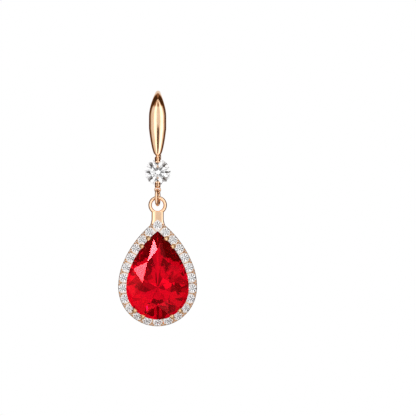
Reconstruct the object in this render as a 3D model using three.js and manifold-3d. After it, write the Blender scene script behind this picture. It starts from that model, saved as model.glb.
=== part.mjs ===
// Drop earring: a fish-hook ear wire whose front is a polished leaf, a round white stone held by
// two claws below it, a small link, and a teardrop red stone in a pave halo that hangs from the link.
// Everything is drawn facing the viewer, X right, Y up and Z towards the front, in millimetres,
// from the point inside the top of the hook's bow where it hangs in the ear. The last group
// turns the drawing so that +Z is up and the front looks along -Y.
import * as THREE from 'three';
import { mergeVertices } from 'three/addons/utils/BufferGeometryUtils.js';
import Module from 'manifold-3d';

// Ear hook: wire, bow and tail
const WIRE_R = 0.4;
const BOW_R = 4.0;
const TAIL_DROP = 6.0;
const TAIL_KICK_R = 8.0;
const TAIL_KICK_ANGLE = 26;

// Leaf: the flattened front of the hook
const LEAF_HEIGHT = 10.3;
const LEAF_WIDTH = 2.75;
const LEAF_FOOT_WIDTH = 0.95;
const LEAF_SWELL = 0.62;
const LEAF_BACK = 0.3;
const LEAF_SWEEP_R = 30;
const LEAF_RISE = 6.3;
const LEAF_RISE_POWER = 1.2;
const LEAF_FALL = 4.1;

// Collar between the leaf and the two-claw head
const COLLAR_R = 0.5;
const COLLAR_HEIGHT = 0.6;
const COLLAR_WAIST_R = 0.3;

// Round white stone and the strap that holds it
const ROUND_STONE_D = 4.1;
const STONE_PLAY = 0.08;
const STRAP_HALF_WIDTH = 0.45;
const STRAP_HALF_THICK = 0.17;
const CLAW_REACH = 0.7;
const STRAP_BACK_ROOM = 0.15;

// Link and the eyelet that it hangs in
const LINK_WIRE_R = 0.22;
const LINK_LENGTH = 2.85;
const LINK_DEPTH = 2.1;
const LINK_TURN = 15;
const LINK_PLAY = 0.12;
const EYELET_WALL = 0.2;
const EYELET_DEPTH = 0.36;

// Bail ring and neck of the drop
const BAIL_R = 1.195;
const BAIL_WIRE_R = 0.28;
const BAIL_SLACK = 0.67;
const NECK_LENGTH = 2.12;
const NECK_TOP_WIDTH = 1.9;
const NECK_FOOT_WIDTH = 2.4;
const NECK_WAIST = 0.5;
const NECK_RAISE = 0.15;

// Teardrop stone: a round foot, a shoulder and a flank on each side
const FOOT_R = 4.96;
const SHOULDER_R = 8.41;
const FLANK_R = 14.2;
const SHOULDER_ANGLE = 20.6;
const CROWN_HEIGHT = 1.5;
const GIRDLE = 0.25;
const PAVILION_DEPTH = 4.1;

// Halo plate and its stones
const HALO_STONES = 24;
const HALO_STONE_D = 1.2;
const SEAT_PLAY = 0.04;
const HALO_RIM = 0.07;
const HALO_STONE_OUT = 0.57;
const HALO_INNER = -0.2;
const HALO_LIFT = 0.2;
const HALO_THICK = 1.1;
const POCKET_DEPTH = 0.12;
const POCKET_BAR = 0.16;
const POCKET_INSET = 0.06;
const TIP_POCKET = 1.5;
const STONE_ABOVE_HALO = 0.45;

// Beads between the halo stones and claws round the teardrop stone
const RIM_BEAD_R = 0.15;
const RIM_BEAD_SPREAD = 0.27;
const INNER_BEAD_R = 0.17;
const INNER_BEAD_IN = 0.4;
const BEAD_RISE = 0.05;
const CLAW_TIP_HALF_WIDTH = 0.27;
const CLAW_HALF_WIDTH = 0.19;
const CLAW_HALF_THICK = 0.2;
const CLAW_HOOK = 0.24;
const CLAW_KNEE = { x: 0.5, y: 1.2 };
const CLAW_FOOT_OUT = 0.8;
const CLAW_BEND_IN = 0.5;
const CLAW_PLAY = 0.07;
const CLAW_GAPS = [1, 2, 9, 10];

// Back gallery that ties the claws together
const GALLERY_WIRE_R = 0.25;
const GALLERY_IN = 1.25;
const GALLERY_BEHIND = 2.15;

// Proportions of the round cut as shares of its diameter, then of the crown's and the pavilion's
// height where the halves meet the mains
const ROUND_CUT = { table: 0.28, crown: 0.16, girdle: 0.03, pavilion: 0.43, crownMeet: 0.45, lowMeet: 0.25 };
const MAINS = 8;

// Mains of the teardrop cut on its right side, from tip to foot: how far along the outline each
// stands, and its table corner as shares of the half width and of the height above or below middle
const TEARDROP_MAINS = [
  { along: 0, across: 0, up: 0.68 },
  { along: 0.235, across: 0.312, up: 0.468 },
  { along: 0.56, across: 0.47, up: 0.105 },
  { along: 0.77, across: 0.353, up: -0.343 },
  { along: 1, across: 0, up: -0.544 },
];
const TEARDROP_MEET = { crown: 0.42, low: 0.3 };

// How finely curves are stepped and how many sides wires, straps, beads and bores have
const HOOK_SIDES = 12;
const STRAP_SIDES = 8;
const CLAW_SIDES = 6;
const SWEEP_STEPS = 8;
const BOW_STEPS = 18;
const KICK_STEPS = 4;
const STRAP_STEPS = 24;
const CLAW_STEPS = 10;
const COLLAR_SIDES = 12;
const EYELET_SIDES = 6;
const EYELET_STEPS = 16;
const LINK_SIDES = 8;
const LINK_BEND_STEPS = 8;
const BAIL_SIDES = 8;
const BAIL_STEPS = 24;
const BORE_SIDES = 10;
const INNER_BEAD_SIDES = 6;
const RIM_BEAD_SIDES = 5;
const GALLERY_SIDES = 6;
const GALLERY_STEPS = 5;
const OUTLINE_STEPS = 9;
const TEARDROP_EDGE_STEPS = 6;

// How a rounded end narrows, as shares of full size: of the tail's tip, with how far ahead each
// step stands in wire radii, of the strap's ends and of a claw's tip
const TAIL_TIP = [[0.6, 0.8], [0.95, 0.35]];
const STRAP_END = [0.55, 0.85];
const CLAW_END = [0.6, 0.9];

// Where the strap touches down behind the round stone, as shares of the stone's radius
const STRAP_TOUCH = [0.3, 0.72];

// Shares of the collar's half height where its lips end and its waist begins, and of their radii
// for the beads' profiles and the bore below a small stone
const COLLAR_LIP = 0.75;
const COLLAR_WAIST = 0.15;
const BEAD_POST = 1.6;
const BEAD_SHOULDER = 0.65;
const BEAD_FLAT = 0.3;
const BORE_SHARE = 0.45;

// Points closer than this are one point: when faces are joined up, and along a path
const SAME_CORNER = 1e-5;
const SAME_PLACE = 1e-6;

const radians = THREE.MathUtils.degToRad;
const wasm = await Module();
wasm.setup();

// A closed geometry as a solid that can be joined and cut
function solidOf(geometry) {
  const bare = geometry.clone();
  bare.deleteAttribute('normal');
  bare.deleteAttribute('uv');
  const merged = mergeVertices(bare, SAME_CORNER);
  const corners = merged.index.array;
  const kept = [];
  for (let i = 0; i < corners.length; i += 3) {
    const [a, b, c] = [corners[i], corners[i + 1], corners[i + 2]];
    if (a !== b && b !== c && c !== a) kept.push(a, b, c);
  }
  return new wasm.Manifold(new wasm.Mesh({
    numProp: 3,
    vertProperties: merged.attributes.position.array,
    triVerts: new Uint32Array(kept),
  }));
}

function geometryOf(solid) {
  const mesh = solid.getMesh();
  const geometry = new THREE.BufferGeometry();
  geometry.setAttribute('position', new THREE.BufferAttribute(new Float32Array(mesh.vertProperties), 3));
  geometry.setIndex(new THREE.BufferAttribute(new Uint32Array(mesh.triVerts), 1));
  geometry.computeVertexNormals();
  return geometry;
}

function joined(geometries) {
  return geometries.map(solidOf).reduce((whole, next) => whole.add(next));
}

// A skin over rings of points, either closed round on itself or capped at both ends
function skin(rings, closed) {
  const sides = rings[0].length;
  const points = rings.flat();
  const faces = [];
  const bands = closed ? rings.length : rings.length - 1;
  for (let r = 0; r < bands; r += 1) {
    const here = r * sides;
    const next = ((r + 1) % rings.length) * sides;
    for (let i = 0; i < sides; i += 1) {
      const j = (i + 1) % sides;
      faces.push(here + i, here + j, next + j, here + i, next + j, next + i);
    }
  }
  if (!closed) {
    const last = (rings.length - 1) * sides;
    for (let i = 1; i < sides - 1; i += 1) {
      faces.push(0, i + 1, i, last, last + i, last + i + 1);
    }
  }
  const geometry = new THREE.BufferGeometry().setFromPoints(points);
  geometry.setIndex(faces);
  return solidFacing(geometry);
}

// Turns a closed geometry's faces outward when they were wound inward
function solidFacing(geometry) {
  const p = geometry.attributes.position;
  const index = geometry.index.array;
  const [a, b, c] = [new THREE.Vector3(), new THREE.Vector3(), new THREE.Vector3()];
  let volume = 0;
  for (let i = 0; i < index.length; i += 3) {
    a.fromBufferAttribute(p, index[i]);
    b.fromBufferAttribute(p, index[i + 1]);
    c.fromBufferAttribute(p, index[i + 2]);
    volume += a.dot(b.cross(c));
  }
  if (volume < 0) geometry.setIndex(Array.from(index).reverse());
  return geometry;
}

// A strap that follows a path in the Y-Z plane; each station gives its half width in X and how
// far it stands out on the left (front) and on the right (back) of the path
function strap(stations, sides) {
  const rings = stations.map((at, i) => {
    const before = stations[Math.max(i - 1, 0)];
    const after = stations[Math.min(i + 1, stations.length - 1)];
    const along = new THREE.Vector2(after.y - before.y, after.z - before.z).normalize();
    const out = new THREE.Vector2(-along.y, along.x);
    const ring = [];
    for (let s = 0; s < sides; s += 1) {
      const turn = (2 * Math.PI * s) / sides;
      const lift = Math.sin(turn) * (Math.sin(turn) > 0 ? at.front : at.back);
      ring.push(new THREE.Vector3(at.half * Math.cos(turn), at.y + out.x * lift, at.z + out.y * lift));
    }
    return ring;
  });
  return skin(rings, false);
}

// A round wire along a closed flat path in the X-Y plane
function closedWire(path, radius, sides) {
  const rings = path.map((at, i) => {
    const before = path[(i + path.length - 1) % path.length];
    const after = path[(i + 1) % path.length];
    const along = new THREE.Vector2().subVectors(after, before).normalize();
    const ring = [];
    for (let s = 0; s < sides; s += 1) {
      const turn = (2 * Math.PI * s) / sides;
      const out = radius * Math.cos(turn);
      ring.push(new THREE.Vector3(at.x + along.y * out, at.y - along.x * out, radius * Math.sin(turn)));
    }
    return ring;
  });
  return skin(rings, true);
}

function smooth(x) {
  const t = THREE.MathUtils.clamp(x, 0, 1);
  return t * t * (3 - 2 * t);
}

// Teardrop outline, grown outward by an offset: three arcs on the right, from the foot to the tip
function teardropArcs(offset) {
  const turn = radians(SHOULDER_ANGLE);
  const shoulder = new THREE.Vector2(FOOT_R - SHOULDER_R, 0);
  const reach = SHOULDER_R - FLANK_R;
  const flank = new THREE.Vector2(Math.cos(turn), Math.sin(turn)).multiplyScalar(reach).add(shoulder);
  const tip = Math.acos(-flank.x / (FLANK_R + offset));
  return [
    { centre: new THREE.Vector2(0, 0), radius: FOOT_R + offset, from: -Math.PI / 2, to: 0 },
    { centre: shoulder, radius: SHOULDER_R + offset, from: 0, to: turn },
    { centre: flank, radius: FLANK_R + offset, from: turn, to: tip },
  ];
}

function halfLength(offset) {
  return teardropArcs(offset).reduce((sum, arc) => sum + arc.radius * (arc.to - arc.from), 0);
}

// The point of the right-hand outline at a length down from the tip, and the way out of it there
function onTeardrop(offset, length) {
  const arcs = teardropArcs(offset).reverse();
  let left = length;
  for (const arc of arcs) {
    const size = arc.radius * (arc.to - arc.from);
    if (left <= size || arc === arcs[arcs.length - 1]) {
      const angle = arc.to - left / arc.radius;
      const out = new THREE.Vector2(Math.cos(angle), Math.sin(angle));
      return { point: out.clone().multiplyScalar(arc.radius).add(arc.centre), out };
    }
    left -= size;
  }
  return null;
}

function mirrored(place) {
  return {
    point: new THREE.Vector2(-place.point.x, place.point.y),
    out: new THREE.Vector2(-place.out.x, place.out.y),
  };
}

function teardropShape(offset) {
  const arcs = teardropArcs(offset);
  const shape = new THREE.Shape();
  shape.moveTo(0, -(FOOT_R + offset));
  for (const arc of arcs) {
    shape.absarc(arc.centre.x, arc.centre.y, arc.radius, arc.from, arc.to, false);
  }
  for (const arc of arcs.reverse()) {
    shape.absarc(-arc.centre.x, arc.centre.y, arc.radius, Math.PI - arc.to, Math.PI - arc.from, false);
  }
  return shape;
}

// Where the flats of two neighbouring mains meet at a chosen height. A main's flat holds the
// tangent of the girdle at its girdle point and its inner point, on the table or the culet.
function meeting(a, b, height) {
  const reachOf = (main) => {
    const share = (height - main.girdle.z) / (main.inner.z - main.girdle.z);
    return THREE.MathUtils.lerp(flatDot(main.out, main.girdle), flatDot(main.out, main.inner), share);
  };
  const [ra, rb] = [reachOf(a), reachOf(b)];
  const det = a.out.x * b.out.y - a.out.y * b.out.x;
  const x = (ra * b.out.y - rb * a.out.y) / det;
  const y = (a.out.x * rb - b.out.x * ra) / det;
  return new THREE.Vector3(x, y, height);
}

function flatDot(out, point) {
  return out.x * point.x + out.y * point.y;
}

// Height of the flat through three points over a place
function heightOn(a, b, c, place) {
  const n = new THREE.Vector3().subVectors(b, a).cross(new THREE.Vector3().subVectors(c, a));
  return a.z - (n.x * (place.x - a.x) + n.y * (place.y - a.y)) / n.z;
}

// One side of a brilliant, crown or pavilion: at each girdle place a kite-shaped main, between
// neighbours two halves along the girdle, and on a crown a star against the table. Returns the
// triangles and the girdle edge that they end in.
function brilliantSide(mains, edges, meetZ, starred) {
  const triangles = [];
  const rim = [];
  mains.forEach((main, i) => {
    const next = mains[(i + 1) % mains.length];
    const before = mains[(i + mains.length - 1) % mains.length];
    const meet = meeting(main, next, meetZ);
    const meetBefore = meeting(before, main, meetZ);
    triangles.push([main.girdle, meetBefore, main.inner], [main.girdle, main.inner, meet]);
    if (starred) triangles.push([main.inner, next.inner, meet]);
    const edge = edges[i];
    const middle = (edge.length - 1) / 2;
    const z = main.girdle.z;
    const mid = new THREE.Vector3(edge[middle].x, edge[middle].y, z);
    const lifted = edge.map((at, k) => {
      const onEnd = k % middle === 0;
      const from = k < middle ? main.girdle : next.girdle;
      return new THREE.Vector3(at.x, at.y, onEnd ? z : heightOn(from, mid, meet, at));
    });
    for (let k = 0; k < edge.length - 1; k += 1) triangles.push([meet, lifted[k + 1], lifted[k]]);
    rim.push(...lifted.slice(0, -1));
  });
  return { triangles, rim };
}

// A whole brilliant from its girdle places. Each edge holds the outline's points from one main to
// the next, both ends and the middle among them.
function brilliant({ places, edges, tableZ, topZ, lowZ, culetZ, crownMeet, lowMeet }) {
  const mainsAt = (z, innerOf) => places.map((place) => ({
    out: place.out,
    girdle: new THREE.Vector3(place.point.x, place.point.y, z),
    inner: innerOf(place),
  }));
  const crownMains = mainsAt(topZ, (place) => new THREE.Vector3(place.table.x, place.table.y, tableZ));
  const culet = new THREE.Vector3(0, 0, culetZ);
  const lowMains = mainsAt(lowZ, () => culet);
  const crown = brilliantSide(crownMains, edges, THREE.MathUtils.lerp(topZ, tableZ, crownMeet), true);
  const low = brilliantSide(lowMains, edges, THREE.MathUtils.lerp(culetZ, lowZ, lowMeet), false);
  const triangles = [...crown.triangles, ...low.triangles.map(([a, b, c]) => [a, c, b])];
  for (let i = 1; i < crownMains.length - 1; i += 1) {
    triangles.push([crownMains[0].inner, crownMains[i + 1].inner, crownMains[i].inner]);
  }
  crown.rim.forEach((top, i) => {
    const topNext = crown.rim[(i + 1) % crown.rim.length];
    const under = low.rim[i];
    const underNext = low.rim[(i + 1) % low.rim.length];
    triangles.push([top, underNext, under], [top, topNext, underNext]);
  });
  const corners = triangles.flat();
  const cut = new THREE.BufferGeometry().setFromPoints(corners);
  cut.setIndex([...corners.keys()]);
  return geometryOf(solidOf(solidFacing(cut)));
}

// Round brilliant with its table towards +Z and the middle of its girdle at Z = 0
function roundStone(diameter) {
  const step = (2 * Math.PI) / MAINS;
  const at = (turn, radius) => new THREE.Vector2(radius * Math.cos(turn), radius * Math.sin(turn));
  const places = [];
  const edges = [];
  for (let i = 0; i < MAINS; i += 1) {
    const turn = i * step;
    places.push({
      point: at(turn, diameter / 2),
      out: at(turn, 1),
      table: at(turn, ROUND_CUT.table * diameter),
    });
    const next = ((i + 1) % MAINS) * step;
    edges.push([at(turn, diameter / 2), at(turn + step / 2, diameter / 2), at(next, diameter / 2)]);
  }
  const topZ = (ROUND_CUT.girdle * diameter) / 2;
  return brilliant({
    places,
    edges,
    tableZ: topZ + ROUND_CUT.crown * diameter,
    topZ,
    lowZ: -topZ,
    culetZ: -topZ - ROUND_CUT.pavilion * diameter,
    crownMeet: ROUND_CUT.crownMeet,
    lowMeet: ROUND_CUT.lowMeet,
  });
}

// Teardrop brilliant with its table towards +Z and the back of its girdle at Z = 0
function teardropStone() {
  const half = halfLength(0);
  const tipY = onTeardrop(0, 0).point.y;
  const foot = TEARDROP_MAINS.length - 1;
  const right = TEARDROP_MAINS.map((row, i) => {
    const { point, out } = onTeardrop(0, row.along * half);
    if (i === 0 || i === foot) point.x = 0;
    if (i === 0 || i === foot) out.set(0, i === 0 ? 1 : -1);
    const table = new THREE.Vector2(row.across * FOOT_R, row.up * (row.up > 0 ? tipY : FOOT_R));
    return { point, out, table };
  });
  const rightEdges = TEARDROP_MAINS.slice(0, foot).map((row, i) => {
    const next = TEARDROP_MAINS[i + 1];
    const points = [];
    for (let k = 0; k <= TEARDROP_EDGE_STEPS; k += 1) {
      const along = THREE.MathUtils.lerp(row.along, next.along, k / TEARDROP_EDGE_STEPS);
      points.push(onTeardrop(0, along * half).point);
    }
    points[0] = right[i].point;
    points[TEARDROP_EDGE_STEPS] = right[i + 1].point;
    return points;
  });
  const flip = (at) => new THREE.Vector2(-at.x, at.y);
  const left = right.slice(1, foot).reverse().map(({ point, out, table }) => (
    { point: flip(point), out: flip(out), table: flip(table) }
  ));
  const leftEdges = rightEdges.map((edge) => edge.map(flip).reverse()).reverse();
  return brilliant({
    places: [...right, ...left],
    edges: [...rightEdges, ...leftEdges],
    tableZ: GIRDLE + CROWN_HEIGHT,
    topZ: GIRDLE,
    lowZ: 0,
    culetZ: -PAVILION_DEPTH,
    crownMeet: TEARDROP_MEET.crown,
    lowMeet: TEARDROP_MEET.low,
  });
}

// Heights and depths down the earring
const bowY = -(BOW_R - WIRE_R);
const leafFootY = 2 * WIRE_R - LEAF_HEIGHT;
const sweepAngle = Math.asin((bowY - leafFootY) / LEAF_SWEEP_R);
const headZ = BOW_R - LEAF_SWEEP_R * (1 - Math.cos(sweepAngle));
const stoneR = ROUND_STONE_D / 2;
const strapOff = STONE_PLAY + STRAP_HALF_THICK;
const stoneY = leafFootY - COLLAR_HEIGHT - STONE_PLAY - stoneR - STRAP_HALF_THICK / 2;
const eyeletHole = LINK_WIRE_R + LINK_PLAY;
const eyeletY = stoneY - stoneR - STONE_PLAY - 2 * STRAP_HALF_THICK - eyeletHole;
const linkSpan = LINK_LENGTH - 2 * LINK_WIRE_R;
const bailY = eyeletY - linkSpan + LINK_WIRE_R + BAIL_SLACK + BAIL_WIRE_R - BAIL_R;
const neckTopY = bailY - BAIL_R + BAIL_WIRE_R / 2;
const tipStoneUp = onTeardrop(HALO_STONE_OUT, 0).point.y;
const dropY = neckTopY - NECK_LENGTH - tipStoneUp - HALO_LIFT;
const haloY = dropY + HALO_LIFT;

// Ear hook: leaf, bow and tail in one strap, then collar, two-claw head and eyelet
function hookStations() {
  const leafLength = (BOW_R * Math.PI) / 2 + LEAF_SWEEP_R * sweepAngle;
  const form = (down) => {
    const rise = smooth(down / LEAF_RISE) ** LEAF_RISE_POWER;
    const low = THREE.MathUtils.clamp((down - leafLength + LEAF_FALL) / LEAF_FALL, 0, 1);
    const fall = (1 - low + Math.sqrt(1 - low * low)) / 2;
    const foot = LEAF_FOOT_WIDTH / 2;
    const wide = THREE.MathUtils.lerp(foot, LEAF_WIDTH / 2, fall);
    return {
      half: THREE.MathUtils.lerp(WIRE_R, wide, rise),
      front: THREE.MathUtils.lerp(WIRE_R, THREE.MathUtils.lerp(WIRE_R, LEAF_SWELL, fall), rise),
      back: THREE.MathUtils.lerp(WIRE_R, LEAF_BACK, rise * fall),
    };
  };
  const wire = { half: WIRE_R, front: WIRE_R, back: WIRE_R };
  const stations = [];
  for (let i = 0; i <= SWEEP_STEPS; i += 1) {
    const angle = (sweepAngle * (SWEEP_STEPS - i)) / SWEEP_STEPS;
    const y = bowY - LEAF_SWEEP_R * Math.sin(angle);
    const z = BOW_R - LEAF_SWEEP_R * (1 - Math.cos(angle));
    stations.push({ y, z, ...form((BOW_R * Math.PI) / 2 + LEAF_SWEEP_R * angle) });
  }
  for (let i = 1; i <= BOW_STEPS; i += 1) {
    const angle = Math.PI / 2 - (Math.PI * i) / BOW_STEPS;
    const down = Math.max(angle, 0) * BOW_R;
    stations.push({ y: bowY + BOW_R * Math.cos(angle), z: BOW_R * Math.sin(angle), ...form(down) });
  }
  for (let i = 0; i <= KICK_STEPS; i += 1) {
    const angle = (radians(TAIL_KICK_ANGLE) * i) / KICK_STEPS;
    const y = bowY - TAIL_DROP - TAIL_KICK_R * Math.sin(angle);
    stations.push({ y, z: -BOW_R - TAIL_KICK_R * (1 - Math.cos(angle)), ...wire });
  }
  const end = stations[stations.length - 1];
  const kick = radians(TAIL_KICK_ANGLE);
  for (const [ahead, narrow] of TAIL_TIP) {
    const size = WIRE_R * narrow;
    const y = end.y - WIRE_R * ahead * Math.cos(kick);
    stations.push({ y, z: end.z - WIRE_R * ahead * Math.sin(kick), half: size, front: size, back: size });
  }
  return stations;
}

// The strap that goes from the upper claw round the back of the round stone to the lower claw
function headStations() {
  const d = ROUND_STONE_D;
  const crownAngle = Math.atan(ROUND_CUT.crown / (0.5 - ROUND_CUT.table));
  const lowAngle = Math.atan(ROUND_CUT.pavilion / 0.5);
  const girdleZ = (ROUND_CUT.girdle * d) / 2;
  const onCrown = (inward) => new THREE.Vector2(
    stoneR - inward + strapOff * Math.sin(crownAngle),
    girdleZ + inward * Math.tan(crownAngle) + strapOff * Math.cos(crownAngle),
  );
  const onPavilion = (inward) => new THREE.Vector2(
    stoneR - inward + (strapOff + STRAP_BACK_ROOM) * Math.sin(lowAngle),
    -girdleZ - inward * Math.tan(lowAngle) - (strapOff + STRAP_BACK_ROOM) * Math.cos(lowAngle),
  );
  const culet = new THREE.Vector2(0, -girdleZ - ROUND_CUT.pavilion * d - strapOff - STRAP_BACK_ROOM);
  const upper = [
    onCrown(CLAW_REACH),
    onCrown(CLAW_REACH / 2),
    new THREE.Vector2(stoneR + strapOff, girdleZ + strapOff / 2),
    new THREE.Vector2(stoneR + strapOff, -girdleZ - strapOff),
    onPavilion(stoneR * STRAP_TOUCH[0]),
    onPavilion(stoneR * STRAP_TOUCH[1]),
  ];
  const lower = upper.map((p) => new THREE.Vector2(-p.x, p.y)).reverse();
  const path = new THREE.SplineCurve([...upper, culet, ...lower]).getPoints(STRAP_STEPS);
  return path.map((p, i) => {
    const fromEnd = Math.min(i, path.length - 1 - i);
    const round = STRAP_END[fromEnd] ?? 1;
    return {
      y: stoneY + p.x,
      z: headZ + p.y,
      half: STRAP_HALF_WIDTH * round,
      front: STRAP_HALF_THICK * round,
      back: STRAP_HALF_THICK * round,
    };
  });
}

function earHook() {
  const collarY = leafFootY - COLLAR_HEIGHT / 2;
  const h = COLLAR_HEIGHT / 2 + STRAP_HALF_THICK / 2;
  const collar = new THREE.LatheGeometry([
    new THREE.Vector2(0, -h),
    new THREE.Vector2(COLLAR_R, -h),
    new THREE.Vector2(COLLAR_R, -h * COLLAR_LIP),
    new THREE.Vector2(COLLAR_WAIST_R, -h * COLLAR_WAIST),
    new THREE.Vector2(COLLAR_WAIST_R, h * COLLAR_WAIST),
    new THREE.Vector2(COLLAR_R, h * COLLAR_LIP),
    new THREE.Vector2(COLLAR_R, h),
    new THREE.Vector2(0, h),
  ], COLLAR_SIDES);
  collar.translate(0, collarY, headZ);
  const eyeletWire = EYELET_WALL / 2;
  const eyelet = new THREE.TorusGeometry(eyeletHole + eyeletWire, eyeletWire, EYELET_SIDES, EYELET_STEPS);
  eyelet.scale(1, 1, EYELET_DEPTH / EYELET_WALL);
  eyelet.translate(0, eyeletY, headZ);
  return joined([strap(hookStations(), HOOK_SIDES), strap(headStations(), STRAP_SIDES), collar, eyelet]);
}

// Oval link, seen nearly edge on, through the eyelet and the bail ring
function link() {
  const bend = LINK_DEPTH / 2 - LINK_WIRE_R;
  const straight = linkSpan / 2 - bend;
  const path = [];
  for (const way of [1, -1]) {
    for (let i = 0; i <= LINK_BEND_STEPS; i += 1) {
      const angle = (Math.PI * i) / LINK_BEND_STEPS + (way < 0 ? Math.PI : 0);
      path.push(new THREE.Vector2(bend * Math.cos(angle), way * straight + bend * Math.sin(angle)));
    }
  }
  const wire = closedWire(path, LINK_WIRE_R, LINK_SIDES);
  wire.rotateY(Math.PI / 2 - radians(LINK_TURN));
  return wire;
}

// Halo: a pave plate round the teardrop, with neck, bail ring, beads, claws and back gallery
const pitch = (2 * halfLength(HALO_STONE_OUT)) / HALO_STONES;
const seatR = HALO_STONE_D / 2 + SEAT_PLAY;
const haloOuter = HALO_STONE_OUT + seatR + HALO_RIM;
const haloFront = HALO_THICK / 2;
const stoneGirdleZ = haloFront + STONE_ABOVE_HALO;
const railZ = stoneGirdleZ - GALLERY_BEHIND;
const haloGirdleZ = haloFront - (ROUND_CUT.girdle * HALO_STONE_D) / 2;

// Places of the halo stones, from the tip down the right side, round the foot and up the left
function haloPlaces() {
  const right = [];
  const count = HALO_STONES / 2;
  for (let k = 0; k <= count; k += 1) right.push(onTeardrop(HALO_STONE_OUT, k * pitch));
  right[0].out.set(0, 1);
  right[0].point.x = 0;
  right[count].point.x = 0;
  right[count].out.set(0, -1);
  return [...right, ...right.slice(1, -1).reverse().map(mirrored)];
}

// Places midway between halo stones on both sides, measured at an offset from the outline
function gapPlace(gap, offset, side) {
  const middle = onTeardrop(HALO_STONE_OUT, gap * pitch + pitch / 2);
  const shift = offset - HALO_STONE_OUT;
  const point = middle.point.clone().addScaledVector(middle.out, shift);
  const place = { point, out: middle.out.clone() };
  return side > 0 ? place : mirrored(place);
}

// A bead of metal on its post; the larger ones between stones have a rounder top
function bead(radius, sides, crowned, x, y, z) {
  const shoulder = radius * BEAD_SHOULDER;
  const top = crowned
    ? [new THREE.Vector2(radius, 0), new THREE.Vector2(shoulder, shoulder)]
    : [new THREE.Vector2(radius, radius * BEAD_FLAT)];
  const dome = new THREE.LatheGeometry([
    new THREE.Vector2(0, -radius * BEAD_POST),
    new THREE.Vector2(radius, -radius * BEAD_POST),
    ...top,
    new THREE.Vector2(0, radius),
  ], sides);
  dome.rotateX(Math.PI / 2);
  dome.translate(x, y, z);
  return dome;
}

function haloPlate() {
  const outline = teardropShape(haloOuter);
  const window = teardropShape(HALO_INNER);
  outline.holes.push(new THREE.Path(window.getPoints(OUTLINE_STEPS).reverse()));
  const plate = new THREE.ExtrudeGeometry(outline, {
    depth: HALO_THICK,
    bevelEnabled: false,
    curveSegments: OUTLINE_STEPS,
  });
  plate.translate(0, haloY, -HALO_THICK / 2);
  return plate;
}

function neck() {
  const footY = haloY + tipStoneUp;
  const waistY = THREE.MathUtils.lerp(footY, neckTopY, NECK_WAIST);
  const shape = new THREE.Shape([
    new THREE.Vector2(-NECK_FOOT_WIDTH / 2, footY),
    new THREE.Vector2(NECK_FOOT_WIDTH / 2, footY),
    new THREE.Vector2(NECK_TOP_WIDTH / 2, waistY),
    new THREE.Vector2(NECK_TOP_WIDTH / 2, neckTopY),
    new THREE.Vector2(-NECK_TOP_WIDTH / 2, neckTopY),
    new THREE.Vector2(-NECK_TOP_WIDTH / 2, waistY),
  ]);
  const plate = new THREE.ExtrudeGeometry(shape, { depth: HALO_THICK + NECK_RAISE, bevelEnabled: false });
  plate.translate(0, 0, -HALO_THICK / 2);
  return plate;
}

function seatCutters() {
  const straightEnd = haloGirdleZ - (ROUND_CUT.girdle * HALO_STONE_D) / 2 - SEAT_PLAY;
  const through = seatR * BORE_SHARE;
  const coneDeep = (seatR - through) * (ROUND_CUT.pavilion / 0.5);
  const bore = new THREE.LatheGeometry([
    new THREE.Vector2(0, -HALO_THICK),
    new THREE.Vector2(through, -HALO_THICK),
    new THREE.Vector2(through, straightEnd - coneDeep),
    new THREE.Vector2(seatR, straightEnd),
    new THREE.Vector2(seatR, HALO_THICK),
    new THREE.Vector2(0, HALO_THICK),
  ], BORE_SIDES);
  bore.rotateX(Math.PI / 2);
  const cutters = [];
  haloPlaces().forEach((place, i) => {
    const seat = bore.clone().translate(place.point.x, haloY + place.point.y, 0);
    cutters.push(seat);
    const size = i === 0 ? [TIP_POCKET, TIP_POCKET] : [2 * (seatR - POCKET_INSET), pitch - POCKET_BAR];
    const pocket = new THREE.BoxGeometry(size[0], size[1], HALO_THICK);
    pocket.rotateZ(i === 0 ? Math.PI / 4 : Math.atan2(place.out.y, place.out.x));
    pocket.translate(place.point.x, haloY + place.point.y, haloFront - POCKET_DEPTH + HALO_THICK / 2);
    cutters.push(pocket);
  });
  return cutters;
}

function haloBeads() {
  const beads = [];
  for (const side of [1, -1]) {
    for (let gap = 0; gap < HALO_STONES / 2; gap += 1) {
      const rim = gapPlace(gap, haloOuter - RIM_BEAD_R, side);
      const inner = gapPlace(gap, haloOuter - INNER_BEAD_IN, side);
      const z = haloFront + BEAD_RISE;
      beads.push(bead(INNER_BEAD_R, INNER_BEAD_SIDES, true, inner.point.x, haloY + inner.point.y, z));
      for (const way of [1, -1]) {
        const x = rim.point.x - way * RIM_BEAD_SPREAD * rim.out.y;
        const y = rim.point.y + way * RIM_BEAD_SPREAD * rim.out.x;
        beads.push(bead(RIM_BEAD_R, RIM_BEAD_SIDES, false, x, haloY + y, z));
      }
    }
  }
  return beads;
}

// One claw, drawn in the Y-Z plane with Y pointing out of the stone's outline
function clawBlade() {
  const top = stoneGirdleZ + GIRDLE;
  const off = CLAW_PLAY + CLAW_HALF_THICK;
  const path = new THREE.SplineCurve([
    new THREE.Vector2(-CLAW_HOOK, top + CLAW_HOOK + off),
    new THREE.Vector2(off * CLAW_KNEE.x, top + off * CLAW_KNEE.y),
    new THREE.Vector2(off, top),
    new THREE.Vector2(off, stoneGirdleZ - GIRDLE),
    new THREE.Vector2(off * CLAW_FOOT_OUT, -haloFront),
    new THREE.Vector2(-GALLERY_IN * CLAW_BEND_IN, (railZ - haloFront) / 2 - GALLERY_WIRE_R),
    new THREE.Vector2(-GALLERY_IN, railZ),
  ]).getPoints(CLAW_STEPS);
  return path.map((p, i) => {
    const round = CLAW_END[i] ?? 1;
    const half = p.y > top ? CLAW_TIP_HALF_WIDTH : CLAW_HALF_WIDTH;
    return {
      y: p.x,
      z: p.y,
      half: half * round,
      front: CLAW_HALF_THICK * round,
      back: CLAW_HALF_THICK * round,
    };
  });
}

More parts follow.
